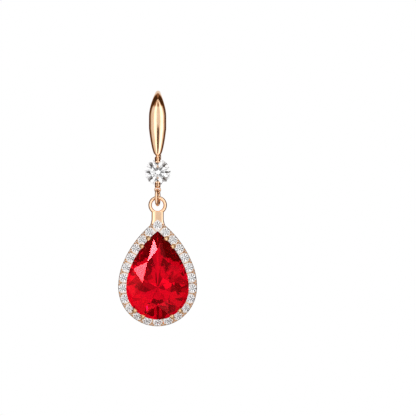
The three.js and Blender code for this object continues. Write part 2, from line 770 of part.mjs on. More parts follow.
function claws() {
  const blade = strap(clawBlade(), CLAW_SIDES);
  const made = [];
  for (const side of [1, -1]) {
    for (const gap of CLAW_GAPS) {
      const place = gapPlace(gap, HALO_STONE_OUT, side);
      const inward = HALO_STONE_OUT + HALO_LIFT * place.out.y;
      const girdle = place.point.clone().addScaledVector(place.out, -inward);
      const claw = blade.clone();
      claw.rotateZ(Math.atan2(place.out.y, place.out.x) - Math.PI / 2);
      claw.translate(girdle.x, haloY + girdle.y, 0);
      made.push(claw);
    }
  }
  return made;
}

function gallery() {
  const path = teardropShape(-GALLERY_IN).getPoints(GALLERY_STEPS);
  const open = path.filter((p, i) => i === 0 || p.distanceTo(path[i - 1]) > SAME_PLACE);
  if (open[0].distanceTo(open[open.length - 1]) < SAME_PLACE) open.pop();
  const rail = closedWire(open, GALLERY_WIRE_R, GALLERY_SIDES);
  rail.translate(0, dropY, railZ);
  return rail;
}

function haloSetting() {
  const bail = new THREE.TorusGeometry(BAIL_R, BAIL_WIRE_R, BAIL_SIDES, BAIL_STEPS);
  bail.translate(0, bailY, 0);
  const body = joined([haloPlate(), neck(), bail]);
  const bored = seatCutters().map(solidOf).reduce((left, cutter) => left.subtract(cutter), body);
  const trim = joined([...haloBeads(), ...claws(), gallery()]);
  return bored.add(trim);
}

const GOLD = { color: 0xf0c898, roughness: 0.12, metalness: 1.0 };
const WHITE_STONE = { color: 0xf4f6f8, roughness: 0.02, metalness: 0.0 };
const RED_STONE = { color: 0xc00018, roughness: 0.02, metalness: 0.0 };

function piece(name, geometry, finish) {
  const mesh = new THREE.Mesh(geometry, new THREE.MeshStandardMaterial(finish));
  mesh.name = name;
  return mesh;
}

const facing = new THREE.Group();
facing.add(piece('ear_hook', geometryOf(earHook()), GOLD));
const whiteStone = piece('round_stone', roundStone(ROUND_STONE_D), WHITE_STONE);
whiteStone.position.set(0, stoneY, headZ);
facing.add(whiteStone);
const jumpLink = piece('jump_link', link(), GOLD);
jumpLink.position.set(0, eyeletY - linkSpan / 2, headZ);
facing.add(jumpLink);

const drop = new THREE.Group();
drop.position.set(0, 0, headZ);
drop.add(piece('halo_setting', geometryOf(haloSetting()), GOLD));
const redStone = piece('teardrop_stone', teardropStone(), RED_STONE);
redStone.position.set(0, dropY, stoneGirdleZ);
drop.add(redStone);
const haloStone = roundStone(HALO_STONE_D);
haloPlaces().forEach((place, i) => {
  const number = String(i + 1).padStart(2, '0');
  const small = piece(`halo_stone_${number}`, haloStone, WHITE_STONE);
  small.position.set(place.point.x, haloY + place.point.y, haloGirdleZ);
  drop.add(small);
});
facing.add(drop);
facing.rotation.x = Math.PI / 2;

const earring = new THREE.Group();
earring.add(facing);

export default earring;
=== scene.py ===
import math

import bmesh
import bpy
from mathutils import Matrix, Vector


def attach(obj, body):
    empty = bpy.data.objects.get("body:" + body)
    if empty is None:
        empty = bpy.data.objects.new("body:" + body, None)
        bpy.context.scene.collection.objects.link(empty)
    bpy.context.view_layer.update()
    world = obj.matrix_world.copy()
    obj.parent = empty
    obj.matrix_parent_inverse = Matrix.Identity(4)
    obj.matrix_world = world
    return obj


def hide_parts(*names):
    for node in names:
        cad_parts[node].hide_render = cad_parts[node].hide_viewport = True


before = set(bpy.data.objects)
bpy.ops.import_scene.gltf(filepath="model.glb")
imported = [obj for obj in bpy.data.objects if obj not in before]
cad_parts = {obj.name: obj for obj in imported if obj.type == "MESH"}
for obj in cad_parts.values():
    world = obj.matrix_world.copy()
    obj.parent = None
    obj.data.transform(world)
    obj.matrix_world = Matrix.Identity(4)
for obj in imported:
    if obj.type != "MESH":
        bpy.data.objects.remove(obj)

bpy.context.view_layer.update()

# Leaf and ear wire
# The fish hook that goes through the ear, cast in rose gold: a hollow-backed leaf in front, the
# bow over it and the straight tail with its kick. It is filed and polished to a mirror.
MM = 0.001
WIRE_R = 0.4
BOW_R = 4.0
TAIL_DROP = 6.0
TAIL_KICK_R = 8.0
TAIL_KICK = math.radians(26)
TAIL_END_REACH = 0.95
TAIL_END_FLAT = 0.35
LEAF_HEIGHT = 10.3
LEAF_HALF_WIDTH = 1.375
LEAF_FOOT_HALF = 0.475
LEAF_SWELL = 0.62
LEAF_BACK = 0.3
LEAF_SWEEP_R = 30.0
LEAF_RISE = 6.3
LEAF_RISE_POWER = 1.2
LEAF_FALL = 4.1
HOOK_SIDES = 40
SWEEP_STEPS = 60
BOW_STEPS = 72
KICK_STEPS = 16
TAIL_END_STEPS = 8
GOLD_LIGHT = (0.95, 0.677, 0.465, 1.0)
GOLD_DEEP = (0.91, 0.61, 0.385, 1.0)
GOLD_ROUGHNESS = 0.06
GOLD_WAVE = 0.012
PATCH_SCALE = 900.0
PATCH_RANGE = (0.3, 0.7)
WAVE_SCALE = 1300.0
LINE_SCALE = 24000.0
LINE_STRETCH = (1.0, 1.0, 0.12)
LINE_HEIGHT = 0.05
LINE_ROUGHNESS = 0.06

bow_y = -(BOW_R - WIRE_R)
leaf_foot_y = 2 * WIRE_R - LEAF_HEIGHT
sweep = math.asin((bow_y - leaf_foot_y) / LEAF_SWEEP_R)
head_z = BOW_R - LEAF_SWEEP_R * (1 - math.cos(sweep))
quarter_bow = BOW_R * math.pi / 2
leaf_length = quarter_bow + LEAF_SWEEP_R * sweep


class Socket:
    """A shader value that takes part in Python expressions."""

    def __init__(self, shader, source):
        self.shader = shader
        self.source = source

    def math(self, operation, first, second=0.0):
        return self.shader.node("ShaderNodeMath", {"operation": operation}, at0=first, at1=second)

    def __add__(self, other):
        return self.math("ADD", self, other)

    def __radd__(self, other):
        return self.math("ADD", other, self)

    def __sub__(self, other):
        return self.math("SUBTRACT", self, other)

    def __rsub__(self, other):
        return self.math("SUBTRACT", other, self)

    def __mul__(self, other):
        return self.math("MULTIPLY", self, other)

    def __rmul__(self, other):
        return self.math("MULTIPLY", other, self)

    def __neg__(self):
        return self.math("MULTIPLY", self, -1.0)

    def __abs__(self):
        return self.math("ABSOLUTE", self)

    def atan2(self, other):
        return self.math("ARCTAN2", self, other)

    def asin(self):
        return self.math("ARCSINE", self)

    def at_least(self, low):
        return self.math("MAXIMUM", self, low)

    def ramp(self, low, high):
        """0 below low and 1 above high, eased between them."""
        eased = {"interpolation_type": "SMOOTHSTEP"}
        return self.shader.node("ShaderNodeMapRange", eased, Value=self, From_Min=low, From_Max=high)

    def mix(self, first, second):
        """A colour between two, by this share."""
        colours = {"data_type": "RGBA"}
        return self.shader.node("ShaderNodeMix", colours, 2, at0=self, at6=first, at7=second)

    def parts(self):
        """The three parts of a vector or of a colour."""
        apart = self.shader.node("ShaderNodeSeparateXYZ", Vector=self)
        return [Socket(self.shader, output) for output in apart.source.node.outputs]


class Shader:
    """The node tree of a material or of the surroundings, emptied first."""

    def __init__(self, owner):
        owner.use_nodes = True
        self.tree = owner.node_tree
        self.tree.nodes.clear()

    def node(self, kind, settings=None, out=0, **values):
        """A node of a kind: its settings first, then the values or links of its sockets. A socket
        goes by its name, with _ for a space, or by atN for its number."""
        made = self.tree.nodes.new(kind)
        for name, value in (settings or {}).items():
            setattr(made, name, value)
        for name, value in values.items():
            slot = made.inputs[int(name[2:]) if name.startswith("at") else name.replace("_", " ")]
            if isinstance(value, Socket):
                self.tree.links.new(value.source, slot)
            else:
                slot.default_value = value
        return Socket(self, made.outputs[out]) if made.outputs else None


def polished(name, light, deep, roughness, wave):
    """Polished metal with patches of tone, fine polishing lines and a slightly uneven surface."""
    material = bpy.data.materials.new(name)
    shader = Shader(material)
    place = shader.node("ShaderNodeTexCoord", out="Object")
    patches = shader.node("ShaderNodeTexNoise", Vector=place, Scale=PATCH_SCALE, Detail=3.0, Roughness=0.6)
    along = shader.node("ShaderNodeVectorMath", {"operation": "MULTIPLY"}, at0=place, at1=LINE_STRETCH)
    lines = shader.node("ShaderNodeTexNoise", Vector=along, Scale=LINE_SCALE, Detail=2.0)
    waves = shader.node("ShaderNodeTexNoise", Vector=place, Scale=WAVE_SCALE, Detail=1.0)
    height = waves + lines * LINE_HEIGHT
    surface = shader.node(
        "ShaderNodeBsdfPrincipled",
        Base_Color=patches.ramp(*PATCH_RANGE).mix(deep, light),
        Metallic=1.0,
        Roughness=roughness + lines * LINE_ROUGHNESS,
        Normal=shader.node("ShaderNodeBump", Strength=0.5, Distance=wave * MM, Height=height),
    )
    shader.node("ShaderNodeOutputMaterial", Surface=surface)
    return material


gold = polished("polished_gold", GOLD_LIGHT, GOLD_DEEP, GOLD_ROUGHNESS, GOLD_WAVE)


def ease(x):
    t = min(max(x, 0.0), 1.0)
    return t * t * (3 - 2 * t)


def blend(a, b, share):
    return a + (b - a) * share


def shape(name, form, crease=40):
    """An object from a drawing's points and faces, edges above crease degrees sharp. The drawing
    has X right, Y up and Z to the front in mm; the scene has metres and its front on -Y."""
    points, faces = form
    mesh = bpy.data.meshes.new(name)
    mesh.from_pydata([(x * MM, -z * MM, y * MM) for x, y, z in points], [], faces)
    shell = bmesh.new()
    shell.from_mesh(mesh)
    bmesh.ops.recalc_face_normals(shell, faces=shell.faces)
    shell.to_mesh(mesh)
    shell.free()
    mesh.shade_smooth()
    mesh.set_sharp_from_angle(angle=math.radians(crease))
    mesh.materials.append(gold)
    made = bpy.data.objects.new(name, mesh)
    bpy.context.scene.collection.objects.link(made)
    return made


def piece(name, form, body, crease=40):
    """A metal piece that rides on its body."""
    made = shape(name, form, crease)
    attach(made, body)
    return made


def skin(rings, closed):
    """Points and faces of a skin over rings, closed on itself or capped at both ends."""
    sides = len(rings[0])
    points = [p for ring in rings for p in ring]
    faces = []
    for r in range(len(rings) if closed else len(rings) - 1):
        here, after = r * sides, (r + 1) % len(rings) * sides
        for i in range(sides):
            j = (i + 1) % sides
            faces.append((here + i, here + j, after + j, after + i))
    if not closed:
        faces.append(tuple(range(sides)))
        faces.append(tuple(range(len(points) - sides, len(points))))
    return points, faces


def strap(stations, sides):
    """A strap along (y, z, half width, front, back) stations in the drawing's Y-Z plane."""
    rings = []
    for i, (y, z, half, front, back) in enumerate(stations):
        before, after = stations[max(i - 1, 0)], stations[min(i + 1, len(stations) - 1)]
        along = Vector((after[0] - before[0], after[1] - before[1])).normalized()
        ring = []
        for s in range(sides):
            turn = 2 * math.pi * s / sides
            lift = math.sin(turn) * (front if math.sin(turn) > 0 else back)
            ring.append((half * math.cos(turn), y - along.y * lift, z + along.x * lift))
        rings.append(ring)
    return skin(rings, False)


def leaf_form(down):
    """Half width, front and back of the hook at a length down from the top of the bow."""
    rise = ease(down / LEAF_RISE) ** LEAF_RISE_POWER
    low = min(max((down - leaf_length + LEAF_FALL) / LEAF_FALL, 0.0), 1.0)
    fall = (1 - low + math.sqrt(1 - low * low)) / 2
    half = blend(WIRE_R, blend(LEAF_FOOT_HALF, LEAF_HALF_WIDTH, fall), rise)
    front = blend(WIRE_R, blend(WIRE_R, LEAF_SWELL, fall), rise)
    return half, front, blend(WIRE_R, LEAF_BACK, rise * fall)


hook = []
for i in range(SWEEP_STEPS + 1):
    angle = sweep * (SWEEP_STEPS - i) / SWEEP_STEPS
    y = bow_y - LEAF_SWEEP_R * math.sin(angle)
    z = BOW_R - LEAF_SWEEP_R * (1 - math.cos(angle))
    hook.append((y, z, *leaf_form(quarter_bow + LEAF_SWEEP_R * angle)))
for i in range(1, BOW_STEPS + 1):
    angle = math.pi / 2 - math.pi * i / BOW_STEPS
    y, z = bow_y + BOW_R * math.cos(angle), BOW_R * math.sin(angle)
    hook.append((y, z, *leaf_form(max(angle, 0) * BOW_R)))
for i in range(KICK_STEPS + 1):
    angle = TAIL_KICK * i / KICK_STEPS
    y = bow_y - TAIL_DROP - TAIL_KICK_R * math.sin(angle)
    hook.append((y, -BOW_R - TAIL_KICK_R * (1 - math.cos(angle)), WIRE_R, WIRE_R, WIRE_R))
end_y, end_z = hook[-1][:2]
for i in range(1, TAIL_END_STEPS + 1):
    share = i / TAIL_END_STEPS
    ahead = WIRE_R * TAIL_END_REACH * math.sin(math.pi / 2 * share)
    size = WIRE_R * blend(TAIL_END_FLAT, 1.0, math.sqrt(1 - share ** 2))
    y, z = end_y - ahead * math.cos(TAIL_KICK), end_z - ahead * math.sin(TAIL_KICK)
    hook.append((y, z, size, size, size))
hook_piece = piece("ear_hook_leaf_and_wire", strap(hook, HOOK_SIDES), "hook")
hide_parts("ear_hook")

# Claw strap
# One flat gold strap, bent round the back of the round stone, whose rounded ends close over its
# crown as two claws. It is soldered to the foot of the collar.
ROUND_STONE_D = 4.1
STONE_PLAY = 0.08
COLLAR_HEIGHT = 0.6
STRAP_HALF_WIDTH = 0.45
STRAP_HALF_THICK = 0.17
CLAW_REACH = 0.7
STRAP_BACK_ROOM = 0.15
STRAP_TOUCH = (0.3, 0.72)
CUT_TABLE, CUT_CROWN, CUT_GIRDLE, CUT_PAVILION = 0.28, 0.16, 0.03, 0.43
STRAP_SIDES = 24
STRAP_STEPS = 144
STRAP_END_STEPS = 6
END_START, END_LEAST = 0.25, 0.2

stone_r = ROUND_STONE_D / 2
strap_off = STONE_PLAY + STRAP_HALF_THICK
stone_y = leaf_foot_y - COLLAR_HEIGHT - STONE_PLAY - stone_r - STRAP_HALF_THICK / 2
crown_angle = math.atan(CUT_CROWN / (0.5 - CUT_TABLE))
low_angle = math.atan(CUT_PAVILION / 0.5)
girdle_z = CUT_GIRDLE * ROUND_STONE_D / 2


def on_crown(inward):
    return (stone_r - inward + strap_off * math.sin(crown_angle),
            girdle_z + inward * math.tan(crown_angle) + strap_off * math.cos(crown_angle))


def on_pavilion(inward):
    off = strap_off + STRAP_BACK_ROOM
    return (stone_r - inward + off * math.sin(low_angle),
            -girdle_z - inward * math.tan(low_angle) - off * math.cos(low_angle))


def curve(corners, count):
    """A smooth curve through corners, count points further than its start."""
    made = []
    for step in range(count + 1):
        at = step / count * (len(corners) - 1)
        i = min(int(at), len(corners) - 2)
        t = at - i
        around = (corners[max(i - 1, 0)], corners[i], corners[i + 1], corners[min(i + 2, len(corners) - 1)])
        point = []
        for a, b, c, d in zip(*around):
            v0, v1 = (c - a) / 2, (d - b) / 2
            cubic = (2 * b - 2 * c + v0 + v1) * t ** 3
            point.append(cubic + (-3 * b + 3 * c - 2 * v0 - v1) * t ** 2 + v0 * t + b)
        made.append(point)
    return made


def end_size(step, steps):
    """Share of full size a few steps from a rounded end, along a quarter circle."""
    if step >= steps:
        return 1.0
    return max(math.sqrt(1 - (1 - (step + END_START) / steps) ** 2), END_LEAST)


upper = [
    on_crown(CLAW_REACH),
    on_crown(CLAW_REACH / 2),
    (stone_r + strap_off, girdle_z + strap_off / 2),
    (stone_r + strap_off, -girdle_z - strap_off),
    on_pavilion(stone_r * STRAP_TOUCH[0]),
    on_pavilion(stone_r * STRAP_TOUCH[1]),
]
behind_culet = (0.0, -girdle_z - CUT_PAVILION * ROUND_STONE_D - strap_off - STRAP_BACK_ROOM)
way = curve(upper + [behind_culet] + [(-y, z) for y, z in reversed(upper)], STRAP_STEPS)
stations = []
for i, (y, z) in enumerate(way):
    size = end_size(min(i, len(way) - 1 - i), STRAP_END_STEPS)
    thick = STRAP_HALF_THICK * size
    stations.append((stone_y + y, head_z + z, STRAP_HALF_WIDTH * size, thick, thick))
piece("ear_hook_claw_strap", strap(stations, STRAP_SIDES), "hook")

# Collar
# A small turned gold collar, waisted like a reel, between the leaf's foot and the claw strap. It
# is soldered to both.
COLLAR_R = 0.5
COLLAR_WAIST_R = 0.3
COLLAR_LIP = 0.75
COLLAR_CAP = 0.3
COLLAR_SIDES = 40
COLLAR_STEPS = 8


def turned(profile, sides, centre, forward=False):
    """Rings of a (radius, along) profile turned about the drawing's Y axis, or about Z if forward."""
    rings = []
    for radius, along in profile:
        ring = []
        for s in range(sides):
            turn = 2 * math.pi * s / sides
            a, b = radius * math.cos(turn), radius * math.sin(turn)
            point = (a, b, along) if forward else (a, along, b)
            ring.append(tuple(p + c for p, c in zip(point, centre)))
        rings.append(ring)
    return skin(rings, False)


collar_half = COLLAR_HEIGHT / 2 + STRAP_HALF_THICK / 2
collar = [(COLLAR_R * COLLAR_CAP, -collar_half)]
for step in range(-COLLAR_STEPS, COLLAR_STEPS + 1):
    share = step / COLLAR_STEPS
    waist = math.cos(min(abs(share) / COLLAR_LIP, 1.0) * math.pi / 2)
    collar.append((blend(COLLAR_R, COLLAR_WAIST_R, waist), collar_half * share))
collar.append((COLLAR_R * COLLAR_CAP, collar_half))
piece("ear_hook_collar", turned(collar, COLLAR_SIDES, (0, leaf_foot_y - COLLAR_HEIGHT / 2, head_z)), "hook")

# Eyelet
# A small flat gold ring, soldered under the lower claw, in which the jump link hangs. Its hole
# clears the link's wire by a little.
LINK_WIRE_R = 0.22
LINK_PLAY = 0.12
EYELET_WALL = 0.2
EYELET_DEPTH = 0.36
EYELET_STEPS = 48
EYELET_SIDES = 20

eyelet_hole = LINK_WIRE_R + LINK_PLAY
eyelet_y = stone_y - stone_r - STONE_PLAY - 2 * STRAP_HALF_THICK - eyelet_hole


def ring_wire(path, radius, sides, stretch=1.0):
    """A closed wire along a flat path of (x, y), its section stretched from front to back."""
    rings = []
    for i, (x, y) in enumerate(path):
        before, after = Vector(path[i - 1]), Vector(path[(i + 1) % len(path)])
        along = (after - before).normalized()
        ring = []
        for s in range(sides):
            turn = 2 * math.pi * s / sides
            out = radius * math.cos(turn)
            ring.append((x + along.y * out, y - along.x * out, radius * stretch * math.sin(turn)))
        rings.append(ring)
    return skin(rings, True)


def circle(radius, steps):
    turns = [2 * math.pi * i / steps for i in range(steps)]
    return [(radius * math.cos(turn), radius * math.sin(turn)) for turn in turns]


def moved(form, x, y, z):
    points, faces = form
    return [(p[0] + x, p[1] + y, p[2] + z) for p in points], faces


eyelet_path = circle(eyelet_hole + EYELET_WALL / 2, EYELET_STEPS)
eyelet = ring_wire(eyelet_path, EYELET_WALL / 2, EYELET_SIDES, EYELET_DEPTH / EYELET_WALL)
piece("ear_hook_eyelet", moved(eyelet, 0, eyelet_y, head_z), "hook")

# Round white stone
# A colourless round brilliant, held at the girdle by the two ends of the claw strap. Its facets
# are ground dead flat, so the surface takes the true direction of each facet.
FACET_WEAR = 0.02
WEAR_SCALE = 3000.0
CLOUD_SCALE = 500.0
CLOUD_RANGE = (0.35, 0.7)
CLEAR_WHITE = (1.0, 1.0, 1.0, 1.0)
CLOUDY_WHITE = (0.96, 0.97, 1.0, 1.0)
WHITE_INDEX = 2.15


def gem(name, colour, cloud, index, gloss, clear):
    """A cut stone: clear body, faint growth clouds in its colour and slight wear of the polish."""
    material = bpy.data.materials.new(name)
    shader = Shader(material)
    place = shader.node("ShaderNodeTexCoord", out="Object")
    wear = shader.node("ShaderNodeTexNoise", Vector=place, Scale=WEAR_SCALE, Detail=2.0)
    clouds = shader.node("ShaderNodeTexNoise", Vector=place, Scale=CLOUD_SCALE, Detail=2.0)
    surface = shader.node(
        "ShaderNodeBsdfPrincipled",
        Base_Color=clouds.ramp(*CLOUD_RANGE).mix(colour, cloud),
        Roughness=wear * FACET_WEAR,
        IOR=index,
        Transmission_Weight=clear,
        Specular_Tint=gloss,
        Normal=shader.node("ShaderNodeNewGeometry", out="True Normal"),
    )
    shader.node("ShaderNodeOutputMaterial", Surface=surface)
    return material


def finished(made, material):
    made.data.materials.clear()
    made.data.materials.append(material)


white_stone = gem("white_stone", CLEAR_WHITE, CLOUDY_WHITE, WHITE_INDEX, gloss=CLEAR_WHITE, clear=1.0)
finished(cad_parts["round_stone"], white_stone)

# Jump link
# An oval link of round gold wire, closed and soldered, seen nearly edge on. It passes through
# the hook's eyelet at the top and round the bail ring's wire at the bottom.
LINK_LENGTH = 2.85
LINK_DEPTH = 2.1
LINK_TURN = math.radians(15)
LINK_BEND_STEPS = 32
LINK_SIDES = 24

link_span = LINK_LENGTH - 2 * LINK_WIRE_R
bend = LINK_DEPTH / 2 - LINK_WIRE_R
straight = link_span / 2 - bend
link_path = []
for side in (1, -1):
    for i in range(LINK_BEND_STEPS + 1):
        angle = math.pi * i / LINK_BEND_STEPS + (math.pi if side < 0 else 0)
        link_path.append((bend * math.cos(angle), side * straight + bend * math.sin(angle)))
link_points, link_faces = ring_wire(link_path, LINK_WIRE_R, LINK_SIDES)
spin = math.pi / 2 - LINK_TURN
link_points = [(x * math.cos(spin) + z * math.sin(spin), y, z * math.cos(spin) - x * math.sin(spin))
               for x, y, z in link_points]
link_form = moved((link_points, link_faces), 0, eyelet_y - link_span / 2, head_z)
link_piece = piece("link_wire", link_form, "link")
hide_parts("jump_link")

# Halo plate
# A flat gold plate in the teardrop's outline with a window for the red stone. A seat and a square
# pocket are bored for each small stone. Its faces turned to the front are painted near-white, a
# painted sheen, and its faces turned away a deeper gold, a painted shade.
BAIL_R = 1.195
BAIL_WIRE_R = 0.28
BAIL_SLACK = 0.67
NECK_LENGTH = 2.12
FOOT_R = 4.96
SHOULDER_R = 8.41
FLANK_R = 14.2
SHOULDER_TURN = math.radians(20.6)
HALO_STONES = 24
HALO_STONE_D = 1.2
SEAT_PLAY = 0.04
HALO_RIM = 0.07
HALO_STONE_OUT = 0.57
HALO_INNER = -0.2
HALO_LIFT = 0.2
HALO_THICK = 1.1
HALO_EDGE = 0.07
POCKET_DEPTH = 0.12
POCKET_BAR = 0.16
POCKET_INSET = 0.06
TIP_POCKET = 1.5
BORE_SHARE = 0.45
BORE_SIDES = 32
OUTLINE_STEPS = 30
CUT_CREASE = 30
# Painted shade for the plate's faces turned away from the front, painted sheen for those turned to it
PAINTED_SHADE_GOLD = (0.8, 0.5, 0.28, 1.0)
PAINTED_SHEEN_WHITE = (1.0, 0.985, 0.97, 1.0)
SHEEN_FACING_RANGE = (0.8, 0.95)
SHEEN_EVEN, SHEEN_PATCHY = 0.75, 0.5
CUT_ROUGHNESS, CUT_LINE_ROUGHNESS = 0.14, 0.1
CUT_WAVE = 0.004
CUT_PATCH_SCALE = 1500.0
CUT_LINE_SCALE = 30000.0


def teardrop_arcs(offset):
    """Centre, radius, start and end angle of the right-hand outline's arcs, foot first."""
    shoulder = (FOOT_R - SHOULDER_R, 0.0)
    reach = SHOULDER_R - FLANK_R
    flank = (shoulder[0] + reach * math.cos(SHOULDER_TURN), reach * math.sin(SHOULDER_TURN))
    tip = math.acos(-flank[0] / (FLANK_R + offset))
    return [((0.0, 0.0), FOOT_R + offset, -math.pi / 2, 0.0),
            (shoulder, SHOULDER_R + offset, 0.0, SHOULDER_TURN),
            (flank, FLANK_R + offset, SHOULDER_TURN, tip)]


def on_teardrop(offset, length):
    """Point of the right-hand outline at a length down from the tip, and the way out of it."""
    foot, *upward = teardrop_arcs(offset)
    for centre, radius, start, stop in reversed(upward):
        size = radius * (stop - start)
        if length <= size:
            break
        length -= size
    else:
        centre, radius, start, stop = foot
    angle = stop - length / radius
    out = Vector((math.cos(angle), math.sin(angle)))
    return Vector(centre) + out * radius, out


def teardrop_path(offset, steps):
    """The whole outline as points, round from the foot by the right side and the tip."""
    right = []
    for centre, radius, start, stop in teardrop_arcs(offset):
        for i in range(steps):
            angle = blend(start, stop, i / steps)
            right.append((centre[0] + radius * math.cos(angle), centre[1] + radius * math.sin(angle)))
    tip = on_teardrop(offset, 0.0)[0]
    return right + [(0.0, tip.y)] + [(-x, y) for x, y in reversed(right[1:])]


half_line = sum(radius * (stop - start) for _, radius, start, stop in teardrop_arcs(HALO_STONE_OUT))
pitch = 2 * half_line / HALO_STONES
seat_r = HALO_STONE_D / 2 + SEAT_PLAY
halo_outer = HALO_STONE_OUT + seat_r + HALO_RIM
halo_front = HALO_THICK / 2
bail_y = eyelet_y - link_span + LINK_WIRE_R + BAIL_SLACK + BAIL_WIRE_R - BAIL_R
neck_top_y = bail_y - BAIL_R + BAIL_WIRE_R / 2
tip_stone_up = on_teardrop(HALO_STONE_OUT, 0.0)[0].y
drop_y = neck_top_y - NECK_LENGTH - tip_stone_up - HALO_LIFT
halo_y = drop_y + HALO_LIFT


def halo_places():
    """Place and way out of each halo stone, from the tip down the right side and up the left."""
    right = [on_teardrop(HALO_STONE_OUT, k * pitch) for k in range(HALO_STONES // 2 + 1)]
    right[0] = (Vector((0, right[0][0].y)), Vector((0, 1)))
    right[-1] = (Vector((0, right[-1][0].y)), Vector((0, -1)))
    return right + [(Vector((-p.x, p.y)), Vector((-o.x, o.y))) for p, o in reversed(right[1:-1])]


def extruded(outline, low, high):
    """A flat plate between two depths."""
    n = len(outline)
    points = [(x, y, z) for z in (low, high) for x, y in outline]
    faces = [(i, (i + 1) % n, n + (i + 1) % n, n + i) for i in range(n)]
    return points, faces + [tuple(range(n)), tuple(range(n, 2 * n))]


def gathered(forms):
    """Several forms as one."""
    points, faces = [], []
    for more, sides in forms:
        faces += [tuple(i + len(points) for i in face) for face in sides]
        points += more
    return points, faces


def rotated(form, angle):
    c, s = math.cos(angle), math.sin(angle)
    return [(x * c - y * s, x * s + y * c, z) for x, y, z in form[0]], form[1]


def resized(mesh, factor):
    for vertex in mesh.vertices:
        vertex.co *= factor


seat_top = halo_front - CUT_GIRDLE * HALO_STONE_D - SEAT_PLAY
through = seat_r * BORE_SHARE
cone_deep = (seat_r - through) * CUT_PAVILION / 0.5
bore = [(through, -HALO_THICK), (through, seat_top - cone_deep), (seat_r, seat_top), (seat_r, HALO_THICK)]
bores, pockets = [], []
for i, (point, out) in enumerate(halo_places()):
    bores.append(turned(bore, BORE_SIDES, (point.x, halo_y + point.y, 0), forward=True))
    wide, deep = (TIP_POCKET, TIP_POCKET) if i == 0 else (2 * (seat_r - POCKET_INSET), pitch - POCKET_BAR)
    corners = [(-wide / 2, -deep / 2), (wide / 2, -deep / 2), (wide / 2, deep / 2), (-wide / 2, deep / 2)]
    box = extruded(corners, halo_front - POCKET_DEPTH, halo_front - POCKET_DEPTH + HALO_THICK)
    box = rotated(box, math.pi / 4 if i == 0 else math.atan2(out.y, out.x))
    pockets.append(moved(box, point.x, halo_y + point.y, 0))


def seats_cut(target, deeper=0.0):
    """Bores the seats and cuts the pockets, at a thousand times the size, where cuts stay exact."""
    resized(target.data, 1 / MM)
    cutters = []
    for name, forms in (("bores", bores), ("pockets", pockets[1:]), ("tip_pocket", pockets[:1])):
        cutter = shape(f"cut_{name}", moved(gathered(forms), 0, 0, -deeper))
        resized(cutter.data, 1 / MM)
        cutters.append(cutter)
        cut = target.modifiers.new(name, "BOOLEAN")
        cut.operation = "DIFFERENCE"
        cut.solver = "EXACT"
        cut.use_self = True
        cut.object = cutter
    bpy.context.view_layer.update()
    seen = target.evaluated_get(bpy.context.evaluated_depsgraph_get())
    cut_mesh = bpy.data.meshes.new_from_object(seen)
    target.modifiers.clear()
    target.data = cut_mesh
    for cutter in cutters:
        bpy.data.objects.remove(cutter)
    resized(target.data, MM)
    target.data.shade_smooth()
    target.data.set_sharp_from_angle(angle=math.radians(CUT_CREASE))


def hung(made):
    """Brings a piece of the drop, drawn about the plate's own depth, forward to where it hangs."""
    for vertex in made.data.vertices:
        vertex.co.y -= head_z * MM
    return made


outer_path = teardrop_path(halo_outer, OUTLINE_STEPS)
edge_path = teardrop_path(halo_outer - HALO_EDGE, OUTLINE_STEPS)
window_path = teardrop_path(HALO_INNER, OUTLINE_STEPS)
plate_walls = [(outer_path, -halo_front), (outer_path, halo_front - HALO_EDGE), (edge_path, halo_front),
               (window_path, halo_front), (window_path, -halo_front)]
plate_rings = [[(x, y, z) for x, y in path] for path, z in plate_walls]
plate = piece("halo_plate", moved(skin(plate_rings, True), 0, halo_y, 0), "drop")
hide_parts("halo_setting")
seats_cut(plate)

# Gold painted near-white with patches where a face turns to the front, a painted sheen, and painted a
# deeper gold where it turns away, a painted shade
sheen_and_shade_painted = bpy.data.materials.new("gold_painted_sheen_and_shade")
face = Shader(sheen_and_shade_painted)
facing = -face.node("ShaderNodeTexCoord", out="Normal").parts()[1]
place = face.node("ShaderNodeTexCoord", out="Object")
patches = face.node("ShaderNodeTexNoise", Vector=place, Scale=CUT_PATCH_SCALE, Detail=3.0)
lines = face.node("ShaderNodeTexNoise", Vector=place, Scale=CUT_LINE_SCALE, Detail=2.0)
painted_sheen_share = facing.ramp(*SHEEN_FACING_RANGE) * (SHEEN_EVEN + patches * SHEEN_PATCHY)
surface = face.node(
    "ShaderNodeBsdfPrincipled",
    Base_Color=painted_sheen_share.mix(PAINTED_SHADE_GOLD, PAINTED_SHEEN_WHITE),
    Metallic=1.0,
    Roughness=CUT_ROUGHNESS + lines * CUT_LINE_ROUGHNESS,
    Normal=face.node("ShaderNodeBump", Strength=0.5, Distance=CUT_WAVE * MM, Height=patches),
)
face.node("ShaderNodeOutputMaterial", Surface=surface)
finished(hung(plate), sheen_and_shade_painted)

# Neck
# A short bar of the same gold with a flared foot and a softly domed front, soldered between the
# plate's tip and the bail ring. It is cut away round the stone at the tip.
NECK_TOP_WIDTH = 1.9
NECK_FOOT_WIDTH = 2.4
NECK_WAIST = 0.5
NECK_RAISE = 0.15
NECK_SLOPE = (
    # how far in from the edge, how far below the top
    (0.0, 0.2), (0.05, 0.12), (0.12, 0.06), (0.24, 0.028), (0.42, 0.011), (0.62, 0.002), (0.8, 0.0),
)
NECK_STEPS = 24
NECK_CREASE = 50
NECK_POCKET_EXTRA = 0.03

foot_y = halo_y + tip_stone_up


def neck_outline(inward):
    """Both sides of the neck, drawn in from a flared foot to a straight upper half."""
    right = []
    for i in range(NECK_STEPS + 1):
        up = i / NECK_STEPS
        flare = max(1 - up / NECK_WAIST, 0.0) ** 2
        half = blend(NECK_TOP_WIDTH, NECK_FOOT_WIDTH, flare) / 2 - inward
        right.append((half, blend(foot_y, neck_top_y, up)))
    return right + [(-x, y) for x, y in reversed(right)]


